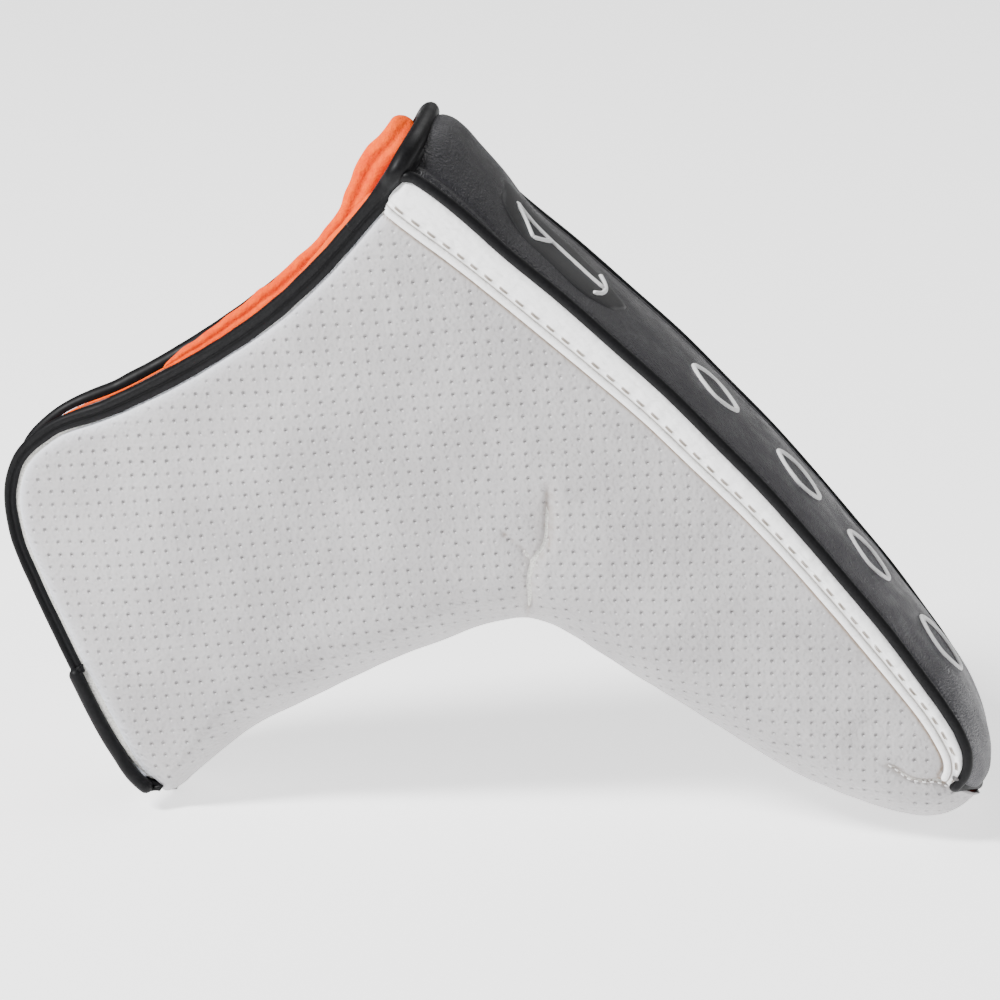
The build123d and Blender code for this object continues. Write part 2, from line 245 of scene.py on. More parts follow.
def panel_grid(columns, rows, first=0.0, last=1.0):
    """Rows from the folded edge up to the top line, and columns from the neck round to the toe."""
    top_at = [along_line(*a, top_line) for a, _ in ANCHORS]
    low_at = [along_line(*b, inner) for _, b in ANCHORS]
    top_at[0], low_at[0], top_at[-1], low_at[-1] = 0, 0, top_length[-1], inner_length[-1]
    middle = (top_at[8] + top_at[9]) / 2
    q = np.linspace(0, 1, 2000)
    weight = 1 + 1.6 * np.exp(-(((q * top_length[-1] - middle) / 22.0) ** 2)) + 1.2 * smoothstep(0.93, 1.0, q)
    share = np.cumsum(weight)
    share = (share - share[0]) / (share[-1] - share[0])
    u = np.interp(np.linspace(first, last, columns), share, q) * top_length[-1]
    v = np.interp(u, top_at, low_at)
    a = np.stack([np.interp(u, top_length, top_line[:, k]) for k in (0, 1)], axis=1)
    b = np.stack([np.interp(v, inner_length, inner[:, k]) for k in (0, 1)], axis=1)
    span = np.linalg.norm(a - b, axis=1)
    low_rows = int(rows * 0.3)
    bend = np.minimum(15.0, 0.55 * span)[:, None]
    phi = np.linspace(0, math.pi / 2, low_rows)[None]
    rise = np.linspace(0, 1, rows - low_rows + 1)[None, 1:]
    rise = 1 - (1 - rise) ** 1.5
    d = np.hstack([bend * (1 - np.cos(phi)), bend + (span[:, None] - bend) * rise]) / span[:, None]
    xz = b[:, None] + (a - b)[:, None] * d[..., None]
    thin = np.clip(span / 9.0, 0.12, 1.0)[None] * np.ones_like(d.T)
    return xz[..., 0].T, xz[..., 1].T, thin


def normals(p):
    """Unit normals of a grid of points."""
    n = np.cross(np.gradient(p, axis=1), np.gradient(p, axis=0))
    return n / np.maximum(np.linalg.norm(n, axis=2, keepdims=True), 1e-9)


def side_surface(x, z, h, side, lift):
    """Points on one side of the cover, lifted along the surface's normal, and those normals facing out."""
    h = h.copy()
    h[0] = 0
    p = np.stack([x, side * h, z], axis=2)
    n = normals(p)
    mid = n[n.shape[0] // 2, n.shape[1] // 2, 1]
    n = n * (1 if mid * side > 0 else -1)
    n[0, :, 1] = 0
    n[0] /= np.maximum(np.linalg.norm(n[0], axis=1, keepdims=True), 1e-9)
    return p + n * lift[..., None], n


# ---------------------------------------------------------------- meshes


def grid_of(rows, cols):
    """Row and column values for every point of a grid."""
    return np.meshgrid(rows, cols, indexing="ij")


def grid_faces(rows, cols, start=0, flip=False, wrap=False):
    r, c = grid_of(np.arange(rows - 1), np.arange(cols if wrap else cols - 1))
    a = start + r * cols + c
    b = start + r * cols + (c + 1) % cols
    quads = np.stack([a, b, b + cols, a + cols], axis=2).reshape(-1, 4)
    return quads[:, ::-1] if flip else quads


def slab(outer, inner_points):
    """A closed sheet between two grids of the same size."""
    rows, cols = outer.shape[:2]
    n = rows * cols
    i = np.arange(n).reshape(rows, cols)
    loop = np.concatenate([i[0, :-1], i[:-1, -1], i[-1, :0:-1], i[:0:-1, 0]])
    nxt = np.roll(loop, -1)
    rim = np.stack([nxt, loop, loop + n, nxt + n], axis=1)
    verts = np.vstack([outer.reshape(-1, 3), inner_points.reshape(-1, 3)])
    return outward(verts, [np.vstack([grid_faces(rows, cols), grid_faces(rows, cols, n, flip=True), rim])])


def outward(verts, faces):
    """The same closed mesh with its faces turned to look outwards."""
    v = verts - verts.mean(0)
    size = 0.0
    for f in faces:
        for k in range(1, f.shape[1] - 1):
            size += np.einsum("ij,ij->i", v[f[:, 0]], np.cross(v[f[:, k]], v[f[:, k + 1]])).sum()
    return verts, [f[:, ::-1] if size < 0 else f for f in faces]


def sweep(path, across, up, section, scale=None):
    """A closed section carried along a path. across and up are unit vectors at each point of the path."""
    path, section = np.asarray(path, float), np.asarray(section, float)
    scale = np.ones(len(path)) if scale is None else np.asarray(scale, float)
    ring = (section if section.ndim == 3 else section[None]) * scale[:, None, None]
    p = path[:, None] + ring[..., 0:1] * across[:, None] + ring[..., 1:2] * up[:, None]
    n, m = p.shape[:2]
    verts = p.reshape(-1, 3)
    k, j, last = len(verts), np.arange(m), (n - 1) * m
    verts = np.vstack([verts, p[0].mean(0), p[-1].mean(0)])
    after = (j + 1) % m
    first_cap = np.stack([0 * j + k, after, j], axis=1)
    last_cap = np.stack([0 * j + k + 1, last + j, last + after], axis=1)
    caps = np.vstack([first_cap, last_cap])
    return outward(verts, [grid_faces(n, m, wrap=True), caps])


def frames(path, toward):
    """Unit vectors square to a path: the first as near as can be to toward, the second square to both."""
    path = np.asarray(path, float)
    t = np.gradient(path, axis=0)
    t /= np.linalg.norm(t, axis=1, keepdims=True)
    w = np.broadcast_to(np.asarray(toward, float), path.shape)
    a = w - (w * t).sum(1, keepdims=True) * t
    a /= np.linalg.norm(a, axis=1, keepdims=True)
    return a, np.cross(t, a)


def circle(radius, count):
    a = np.linspace(0, 2 * math.pi, count, endpoint=False)
    return np.stack([radius * np.cos(a), radius * np.sin(a)], axis=1)


def rounded(distance, radius, least=0.02):
    """How wide a section is at a distance from its rounded end, as a share of the full width."""
    return np.sqrt(np.clip(1 - (1 - np.minimum(distance / radius, 1)) ** 2, least, 1))


def tube(path, radius, count=12):
    """A round cord along a path, with rounded ends."""
    path = np.asarray(path, float)
    s = arc(path)
    extra = np.array([0.0, 0.08, 0.3, 0.65]) * radius
    inside = np.concatenate([extra, s[-1] - extra[::-1], s[(s > radius) & (s < s[-1] - radius)]])
    at = np.unique(np.clip(inside, 0, s[-1]))
    path = np.stack([np.interp(at, s, path[:, k]) for k in range(3)], axis=1)
    a, b = frames(path, (0, 1, 0))
    return sweep(path, a, b, circle(radius, count), rounded(np.minimum(at, at[-1] - at), radius))


def joined(parts):
    verts, faces, k = [], [], 0
    for v, f in parts:
        verts.append(v)
        faces += [q + k for q in f]
        k += len(v)
    return np.vstack(verts), faces


def piece(name, made, mat, slot, uv=None, **attributes):
    """A mesh object from points in mm, with its material."""
    verts, faces = made
    mesh = bpy.data.meshes.new(name)
    mesh.vertices.add(len(verts))
    mesh.vertices.foreach_set("co", (np.asarray(verts) * 0.001).astype(np.float32).ravel())
    corners = np.concatenate([f.ravel() for f in faces])
    sizes = np.concatenate([np.full(len(f), f.shape[1]) for f in faces])
    mesh.loops.add(len(corners))
    mesh.loops.foreach_set("vertex_index", corners.astype(np.int32))
    mesh.polygons.add(len(sizes))
    mesh.polygons.foreach_set("loop_start", (np.cumsum(sizes) - sizes).astype(np.int32))
    mesh.update(calc_edges=True)
    mesh.shade_smooth()
    for key, values in attributes.items():
        layer = mesh.attributes.new(key, "FLOAT", "POINT")
        layer.data.foreach_set("value", np.asarray(values, np.float32).ravel())
    if uv is not None:
        layer = mesh.uv_layers.new(name="UVMap")
        index = np.zeros(len(mesh.loops), np.int32)
        mesh.loops.foreach_get("vertex_index", index)
        layer.data.foreach_set("uv", np.asarray(uv, np.float32)[index].ravel())
    mesh.materials.append(mat)
    obj = bpy.data.objects.new(name, mesh)
    bpy.context.scene.collection.objects.link(obj)
    return obj


# ---------------------------------------------------------------- materials


class Nodes:
    """A short way to write a node material."""

    def __init__(self, name):
        self.mat = bpy.data.materials.new(name)
        self.mat.use_nodes = True
        self.tree = self.mat.node_tree
        self.shader = self.tree.nodes["Principled BSDF"]

    def add(self, kind, out=0, props=None, **inputs):
        n = self.tree.nodes.new(kind)
        for k, v in (props or {}).items():
            setattr(n, k, v)
        for k, v in inputs.items():
            key = int(k[1:]) if k[0] == "i" and k[1:].isdigit() else k.replace("_", " ")
            self.put(n.inputs[key], v)
        return n.outputs[out]

    def put(self, socket, v):
        if isinstance(v, bpy.types.NodeSocket):
            self.tree.links.new(v, socket)
        else:
            socket.default_value = v

    def math(self, op, a, b=0.0):
        return self.add("ShaderNodeMath", props={"operation": op}, i0=a, i1=b)

    def map(self, v, lo, hi, a=0.0, b=1.0, smooth=True):
        kind = {"interpolation_type": "SMOOTHSTEP" if smooth else "LINEAR"}
        ends = {"From_Min": lo, "From_Max": hi, "To_Min": a, "To_Max": b}
        return self.add("ShaderNodeMapRange", props=kind, Value=v, **ends)

    def mix(self, share, a, b):
        n = self.tree.nodes.new("ShaderNodeMix")
        n.data_type = "RGBA"
        self.put(n.inputs[0], share)
        self.put(n.inputs[6], a)
        self.put(n.inputs[7], b)
        return n.outputs[2]

    def where(self):
        return self.add("ShaderNodeTexCoord", out=3)

    def noise(self, scale, detail=3.0, rough=0.55):
        inputs = {"Scale": scale, "Detail": detail, "Roughness": rough}
        return self.add("ShaderNodeTexNoise", Vector=self.where(), **inputs)

    def cells(self, scale, feature="F1"):
        return self.add("ShaderNodeTexVoronoi", props={"feature": feature}, Vector=self.where(), Scale=scale)

    def vector(self, operation, a, b=(0.0, 0.0, 0.0), out=0):
        return self.add("ShaderNodeVectorMath", out=out, props={"operation": operation}, i0=a, i1=b)

    def total(self, *parts):
        """The sum of parts, each a value and its share."""
        scaled = [self.math("MULTIPLY", v, share) for v, share in parts]
        out = scaled[0]
        for more in scaled[1:]:
            out = self.math("ADD", out, more)
        return out

    def attribute(self, name):
        return self.add("ShaderNodeAttribute", out=2, props={"attribute_name": name})

    def finish(self, colour, roughness, bump=None, strength=1.0, **inputs):
        """bump is a height in mm."""
        self.put(self.shader.inputs["Base Color"], colour)
        self.put(self.shader.inputs["Roughness"], roughness)
        for k, v in inputs.items():
            self.put(self.shader.inputs[k.replace("_", " ")], v)
        if bump is not None:
            normal = self.add("ShaderNodeBump", Height=bump, Distance=0.001, Strength=strength)
            self.put(self.shader.inputs["Normal"], normal)
        return self.mat


def rgb(r, g, b):
    return (r, g, b, 1.0)


def perforated_leather():
    """UVs count perforation pitches; fade thins the holes out, roll paints a bluish highlight along the
    mouth's edge, the creases and the dart are tinted brown, and the groove beside the welt is painted with
    shade.
    """
    n = Nodes("perforated_leather")
    uv = n.add("ShaderNodeUVMap", props={"uv_map": "UVMap"})
    wobble = n.add("ShaderNodeTexNoise", out=1, Vector=uv, Scale=0.35, Detail=1.0)
    at = n.vector("ADD", uv, n.vector("MULTIPLY", wobble, (0.09, 0.09, 0.0)))
    cell = n.vector("SUBTRACT", n.vector("FRACTION", at), (0.5, 0.5, 0.0))
    away = n.vector("LENGTH", cell, out=1)
    uneven = n.add("ShaderNodeTexNoise", Vector=uv, Scale=0.9, Detail=1.0)
    fade = n.math("MULTIPLY", n.attribute("fade"), n.map(uneven, 0.32, 0.6, 0.45, 1.0))
    hole = n.math("MULTIPLY", n.map(away, 0.04, 0.085, 1.0, 0.0), fade)
    dent = n.math("MULTIPLY", n.map(away, 0.05, 0.21, 1.0, 0.0), fade)
    # Painted highlight: a light spot just below each hole, where the dent would catch the light.
    below = n.vector("LENGTH", n.vector("ADD", cell, (-0.02, 0.13, 0.0)), out=1)
    lit = n.math("MULTIPLY", n.map(below, 0.03, 0.10, 1.0, 0.0), fade)
    pebble = n.cells(1250.0, "SMOOTH_F1")
    fine = n.noise(2600.0, 2.0)
    bump = n.math("SUBTRACT", n.total((pebble, 0.26), (fine, 0.10)), n.total((dent, 0.46), (hole, 0.15)))
    base = n.mix(n.map(n.noise(60.0, 2.0), 0.35, 0.65), rgb(0.375, 0.362, 0.366), rgb(0.425, 0.412, 0.416))
    base = n.mix(n.map(pebble, 0.15, 0.6), n.mix(0.12, base, rgb(0.2, 0.19, 0.19)), base)
    # Painted highlight: bluish white along the mouth's edge, where the leather rolls under.
    base = n.mix(n.math("MULTIPLY", n.attribute("roll"), 0.95), base, rgb(0.86, 0.89, 0.96))
    base = n.mix(n.math("MULTIPLY", lit, 0.55), base, rgb(0.85, 0.85, 0.86))
    # A brown tint in the creases and along the dart, and painted shade in the groove beside the welt.
    base = n.mix(n.attribute("stain"), base, rgb(0.22, 0.155, 0.10))
    base = n.mix(n.math("MULTIPLY", hole, 0.9), base, rgb(0.10, 0.09, 0.09))
    return n.finish(base, n.map(fine, 0.3, 0.7, 0.42, 0.52), bump, Specular_IOR_Level=0.42)


def smooth_leather():
    n = Nodes("smooth_white_leather")
    stretch = n.add("ShaderNodeMapping", Vector=n.where(), Rotation=(0.0, 0.75, 0.0), Scale=(1.0, 1.0, 2.6))
    wrinkles = n.add("ShaderNodeTexNoise", Vector=stretch, Scale=420.0, Detail=4.0, Distortion=0.8)
    fine = n.noise(1900.0)
    bump = n.total((n.map(wrinkles, 0.3, 0.62), 0.06), (fine, 0.07))
    base = n.mix(n.map(wrinkles, 0.25, 0.5), rgb(0.84, 0.835, 0.83), rgb(0.93, 0.93, 0.935))
    # Painted shade: the trim is darkened at the topstitch holes and in the groove beside the welt.
    base = n.mix(n.attribute("stain"), base, rgb(0.13, 0.095, 0.065))
    return n.finish(base, n.map(fine, 0.3, 0.7, 0.36, 0.48), bump, Specular_IOR_Level=0.45)


def black_leather():
    """Painted light: the leather is painted lighter from the heel to the toe."""
    n = Nodes("black_leather")
    grain = n.cells(2300.0, "SMOOTH_F1")
    slow = n.noise(240.0)
    bump = n.total((grain, 0.24), (n.noise(5200.0, 2.0), 0.12), (slow, 0.05))
    base = n.mix(n.map(grain, 0.1, 0.7), rgb(0.006, 0.0056, 0.008), rgb(0.020, 0.0185, 0.025))
    worn = n.map(n.attribute("worn"), 0.0, 1.0, smooth=False)
    # Painted shade at the heel's end, painted light at the toe's end.
    shaded_heel_end = n.mix(0.6, base, rgb(0.002, 0.002, 0.003))
    worn_end = n.mix(0.35, base, rgb(0.034, 0.032, 0.040))
    base = n.mix(worn, shaded_heel_end, worn_end)
    return n.finish(base, n.map(slow, 0.3, 0.7, 0.40, 0.52), bump, Specular_IOR_Level=0.5)


def glossy_binding():
    n = Nodes("glossy_black_binding")
    fine = n.noise(1500.0)
    slow = n.noise(210.0)
    base = n.mix(n.map(fine, 0.3, 0.7), rgb(0.0022, 0.0022, 0.0026), rgb(0.0045, 0.0045, 0.0052))
    bump = n.total((fine, 0.018), (slow, 0.06))
    return n.finish(base, n.map(slow, 0.3, 0.7, 0.44, 0.56), bump, Specular_IOR_Level=0.14)


def fleece():
    n = Nodes("orange_fleece")
    tuft = n.noise(700.0, 5.0, 0.72)
    soft = n.noise(110.0, 2.0)
    base = n.mix(n.map(tuft, 0.3, 0.7), rgb(0.80, 0.052, 0.0), rgb(1.0, 0.11, 0.0))
    base = n.mix(n.math("MULTIPLY", n.map(soft, 0.4, 0.7), 0.4), base, rgb(1.0, 0.15, 0.0))
    # Painted light: the fleece glows a little, though it is no lamp, to make the orange brighter.
    glow = {"Emission_Color": rgb(1.0, 0.11, 0.0), "Emission_Strength": 0.13}
    sheen = {"Sheen_Tint": rgb(1.0, 0.4, 0.12), "Sheen_Weight": 0.05, "Sheen_Roughness": 0.45}
    bump = n.total((tuft, 0.9), (soft, 0.8))
    return n.finish(base, 0.95, bump, 0.7, Specular_IOR_Level=0.15, **glow, **sheen)


def foam_material():
    n = Nodes("grey_foam")
    cell = n.cells(2200.0)
    base = n.mix(n.map(cell, 0.1, 0.7), rgb(0.42, 0.42, 0.40), rgb(0.62, 0.61, 0.58))
    return n.finish(base, 0.95, n.total((cell, 0.2)), 0.8, Specular_IOR_Level=0.1)


def thread_material(name, low, high, gloss, sheen=0.2):
    n = Nodes(name)
    turn = n.add("ShaderNodeMapping", Vector=n.where(), Rotation=(0.4, 0.78, 0.0))
    twist = n.add("ShaderNodeTexWave", Vector=turn, Scale=1500.0, Distortion=1.5, Detail=1.0)
    bump = n.total((twist, 0.06), (n.noise(3600.0), 0.05))
    return n.finish(n.mix(n.map(twist, 0.1, 0.8), low, high), gloss, bump, 0.9, Sheen_Weight=sheen)


def tape_material():
    n = Nodes("black_closure_tape")
    tuft = n.noise(2400.0, 4.0, 0.7)
    bump = n.total((tuft, 0.5), (n.cells(1500.0), 0.3))
    base = n.mix(n.map(tuft, 0.35, 0.7), rgb(0.012, 0.012, 0.013), rgb(0.05, 0.05, 0.052))
    return n.finish(base, 0.85, bump, 0.9, Sheen_Weight=0.25)


PERFORATED, SMOOTH, BLACK, GLOSS = perforated_leather(), smooth_leather(), black_leather(), glossy_binding()
FLEECE, FOAM, TAPE = fleece(), foam_material(), tape_material()
WHITE_THREAD = thread_material("white_thread", rgb(0.62, 0.62, 0.62), rgb(0.92, 0.92, 0.92), 0.55)
BLACK_THREAD = thread_material("black_thread", rgb(0.002, 0.002, 0.0025), rgb(0.008, 0.008, 0.010), 0.6, 0.0)
SHADED_THREAD = thread_material("shaded_white_thread", rgb(0.16, 0.13, 0.10), rgb(0.36, 0.32, 0.28), 0.7, 0.0)
CORD = thread_material("cord_fibre", rgb(0.35, 0.34, 0.32), rgb(0.6, 0.59, 0.56), 0.8)

# ---------------------------------------------------------------- the cover's sides


def bend_with_flap(obj):
    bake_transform(obj)


def flat_pattern(x, z):
    """Where each point lies on the flat leather, in perforation pitches."""
    xs = np.linspace(-110, 110, 400)
    turn = np.tan(np.radians(np.interp(xs, [-95, -40, 0, 40, 95], [8.5, 7.5, 5.0, 2.5, 1.0])))
    rise = np.concatenate([[0], np.cumsum((turn[1:] + turn[:-1]) / 2 * np.diff(xs))])
    u = x + (z - 60) * np.interp(x, xs, turn)
    v = z - np.interp(x, xs, rise)
    return np.stack([u.ravel() / PITCH + 50, v.ravel() / PITCH + 50], axis=1)


def thinning(x, z):
    """The layers are pressed thinner towards the mouth's edge."""
    dm, _ = nearest(x, z, mouth)
    return 0.6 + 0.4 * smoothstep(0, 9, dm)


def leather_fields():
    """The panel's grid and what is worked out once for both sides."""
    x, z, thin = panel_grid(345, 140)
    f = {"x": x, "z": z, "h": height(x, z), "press": thinning(x, z) * thin}
    row = np.arange(x.shape[0])[:, None]
    f["lift"] = (dents(x, z) + edges(x, z) - 0.4 * hump(row, 0, 2.2)) * thin
    dm, _ = nearest(x, z, far_mouth)
    dw, _ = nearest(x, z, far_welt)
    d, _ = nearest(x, z, far_inner)
    fade = smoothstep(2.2, 5.0, dm) * smoothstep(1.6, 3.4, dw) * smoothstep(1.5, 6.0, d)
    f["fade"] = fade * (1 - 0.7 * ridge(x, z, dart, 2.0, 1.0)) * (1 - 0.6 * ridge(x, z, crease, 1.2, 2.0))
    # A brown tint along the creases and the dart, and painted shade in the groove beside the welt.
    stain = 0.6 * ridge(x, z, crease, 0.3, 2) + 0.55 * ridge(x, z, branch, 0.26, 1)
    stain = stain + 0.5 * ridge(x, z, crease[:-30] + SECOND_CREASE, 0.24, 4)
    stain = stain + 0.16 * ridge(x, z, crease, 2.2, 6)
    stain = stain * (0.7 + 0.5 * waves(x, z, 2.5, 71)) + 0.95 * hump(dw, 1.3, 0.3)
    f["stain"] = np.clip(stain + 0.75 * ridge(x, z, dart, 0.4, 0.8), 0, 0.9)
    # Painted highlight: how much bluish white the panel gets near the mouth's binding.
    f["roll"] = np.exp(-np.maximum(dm - 1.6, 0) / 1.0)
    f["uv"] = np.tile(flat_pattern(x, z), (2, 1))
    return f


def layer_fields(columns, rows, first, last):
    x, z, thin = panel_grid(columns, rows, first, last)
    dm, _ = nearest(x, z, far_mouth)
    return {"x": x, "z": z, "h": height(x, z), "press": thinning(x, z) * thin, "dm": dm}


def side_pieces(side, word, f):
    outer, n = side_surface(f["x"], f["z"], f["h"], side, f["lift"])
    twice = {k: np.tile(f[k].ravel(), 2) for k in ("fade", "stain", "roll")}
    panel = piece(f"{word}_panel", slab(outer, outer - n * (LEATHER * f["press"])[..., None]), PERFORATED,
                  "white_perforated", uv=f["uv"], **twice)
    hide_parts(f"{word}_side_panel", f"{word}_flap_panel")
    bend_with_flap(panel)


def padding(side, word, f):
    face, n = side_surface(f["x"], f["z"], f["h"], side, np.zeros_like(f["x"]))
    made = slab(face - n * (FOAM_IN * f["press"])[..., None], face - n * (FOAM_OUT * f["press"])[..., None])
    foam = piece(f"{word}_padding", made, FOAM, "foam")
    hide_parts(f"{word}_side_foam", f"{word}_flap_foam")
    bend_with_flap(foam)


ARCH = np.array([[-17.4, -21.2, 135.3], [-16.2, -19.8, 137.4], [-15.2, -16.4, 139.0], [-14.5, -11.0, 140.0],
                 [-14.2, -5.5, 140.4], [-14.1, 0.0, 140.5]])


def collar(side):
    """The fleece's thick turned edge, just inside the mouth's binding."""
    at = arc(mouth)
    start = along_line(-69.0, 87.5, mouth) if side > 0 else along_line(-84.0, 80.5, mouth)
    s = np.linspace(start, at[-1] - 2.5, 200)
    path = binding_path(side, s)
    a, up = inward_at(side, path)
    left = at[-1] - s
    if side > 0:
        tail = ARCH[:5] * np.array([1, -1, 1])
        path = np.vstack([path, tail])
        more = np.array([0.80, 0.0, -0.60])
        a = np.vstack([a, np.broadcast_to(more, tail.shape)])
        turn = np.linspace(0.2, 1.0, len(tail))[:, None]
        tail_up = (1 - turn) * np.array([0.0, 1.0, 0.0]) + turn * np.array([0.6, 0.0, 0.8])
        up = np.vstack([up, tail_up / np.linalg.norm(tail_up, axis=1, keepdims=True)])
        left = np.concatenate([left, -np.linspace(0.5, 16.0, len(tail))])
    puff = hump(left, 8.0, 10.5) * (side > 0)
    if side > 0:
        wide = 0.62 + 0.38 * smoothstep(75.0, 25.0, left)
    else:
        wide = 0.34 + 0.66 * smoothstep(52.0, 22.0, left)
    low = 1.5 * smoothstep(24.0, 48.0, left) * (side < 0)
    wave = 0.10 * waves(left, left * 0, 8, 25) + 0.08 * waves(left, left * 0, 3.5, 26)
    close = (1 - smoothstep(-6.0, 5.0, left)) * (side > 0)
    over = (0.35 + low - 3.6 * puff - wave) * (1 - close) - 4.3 * close
    down = (1.2 + 2.4 * wide - 0.5 * puff) * (1 - close) - 0.5 * close
    path = path + a * over[:, None] - up * down[:, None]
    columns = [path, a, up, wide[:, None], puff[:, None], wave[:, None]]
    line = spline(np.hstack([c[::8] for c in columns]), 0.5, slice(0, 3))
    t = np.linspace(0, 2 * math.pi, 36, endpoint=False)
    groove = 1 - 0.34 * hump(t, 4.55, 0.3) * (side > 0)
    section = circle(1.0, 36) * np.array([2.6, 2.3]) * groove[:, None]
    size = line[:, 9] * (1 + 0.35 * line[:, 10] + 0.5 * line[:, 11])
    s = arc(line[:, :3])
    size = size * rounded(np.minimum(s * 0.22, s[-1] - s), 2.2)
    return sweep(line[:, :3], line[:, 3:6], line[:, 6:9], section, size)


def lining(side, word, f):
    """The fleece, with the thick turned edge that fills the mouth behind its binding."""
    x, z, dm = f["x"], f["z"], f["dm"]
    face, n = side_surface(x, z, f["h"], side, np.zeros_like(x))
    fold = 1.5 * hump(dm, 9.5, 3.2) + 2.6 * hump(dm, 3.0, 3.4)
    fold = fold - 0.9 * hump(dm, 6.2, 0.9)
    room = smoothstep(7.0, 13.0, f["h"])
    if side > 0:
        fold = fold + 3.6 * hump(dm, 7.0, 5.0)
    fold = fold * smoothstep(-70.0, -58.0, x)
    fluff = 0.18 * waves(x, z, 7, 21) + 0.12 * waves(x, z, 3, 22)
    near = face - n * (LINING_IN * f["press"])[..., None]
    deep = LINING_OUT * f["press"] + fold * (0.15 + 0.85 * room) + fluff * smoothstep(0, 3, dm)
    made = joined([slab(near, face - n * deep[..., None]), collar(side)])
    obj = piece(f"{word}_lining", made, FLEECE, "orange_fleece")
    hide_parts(f"{word}_side_lining", f"{word}_flap_lining")
    bend_with_flap(obj)
    return obj


# ---------------------------------------------------------------- strips along the band's edge


def strip_points(s, f, side, lift):
    """Points between the seam (f 0) and the trim's lower edge (f 1)."""
    r = rail(s)
    xz = r[..., 0:2] + f[..., None] * (r[..., 2:4] - r[..., 0:2])
    y = side * (height(xz[..., 0], xz[..., 1]) + lift)
    return np.stack([xz[..., 0], y, xz[..., 1]], axis=-1)


TRIM_START, TRIM_END = -1.0, SEAM_LENGTH - 0.2


